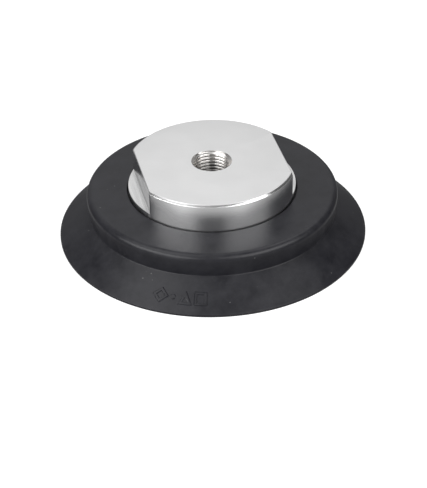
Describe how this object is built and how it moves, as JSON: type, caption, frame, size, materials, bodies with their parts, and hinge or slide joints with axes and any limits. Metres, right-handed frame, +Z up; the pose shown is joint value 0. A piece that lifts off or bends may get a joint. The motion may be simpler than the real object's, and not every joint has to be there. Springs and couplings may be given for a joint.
{
  "type": "vacuum suction cup",
  "caption": "Round flat vacuum suction cup: an aluminium hub with a threaded port and two wrench flats, clamped on a black rubber cup with a conical skirt.",
  "frame": {"origin": "centre of the sealing plane, where the lip rests on the workpiece", "axes": "+Z up along the cup's axis towards the port; the wrench flats face +X and -X"},
  "size_m": [0.125, 0.125, 0.0318],
  "materials": {
    "hub_aluminium": "bright turned, faintly brushed",
    "cup_rubber": "matt moulded nitrile",
    "plate_aluminium": "plain turned",
    "ring_steel": "zinc plated",
    "screen_steel": "stainless",
    "screw_steel": "zinc plated"
  },
  "bodies": {
    "head": {"hub": "hub_aluminium", "clamp_plate": "plate_aluminium", "support_ring": "ring_steel", "filter_screen": "screen_steel", "filter_ring": "screen_steel", "clamp_screw_1": "screw_steel", "clamp_screw_2": "screw_steel", "clamp_screw_3": "screw_steel", "clamp_screw_4": "screw_steel", "clamp_screw_5": "screw_steel", "clamp_screw_6": "screw_steel", "lock_washer_1": "screw_steel", "lock_washer_2": "screw_steel", "lock_washer_3": "screw_steel", "lock_washer_4": "screw_steel", "lock_washer_5": "screw_steel", "lock_washer_6": "screw_steel"},
    "pad": {"rubber_cup": "cup_rubber"}
  },
  "joints": [
    {"name": "lip_compression", "type": "slide", "parent": "head", "child": "pad", "axis": [0, 0, 1], "range_m": [0, 0.006], "stiffness_N_per_m": 8000, "deforming": ["rubber_cup"]}
  ]
}
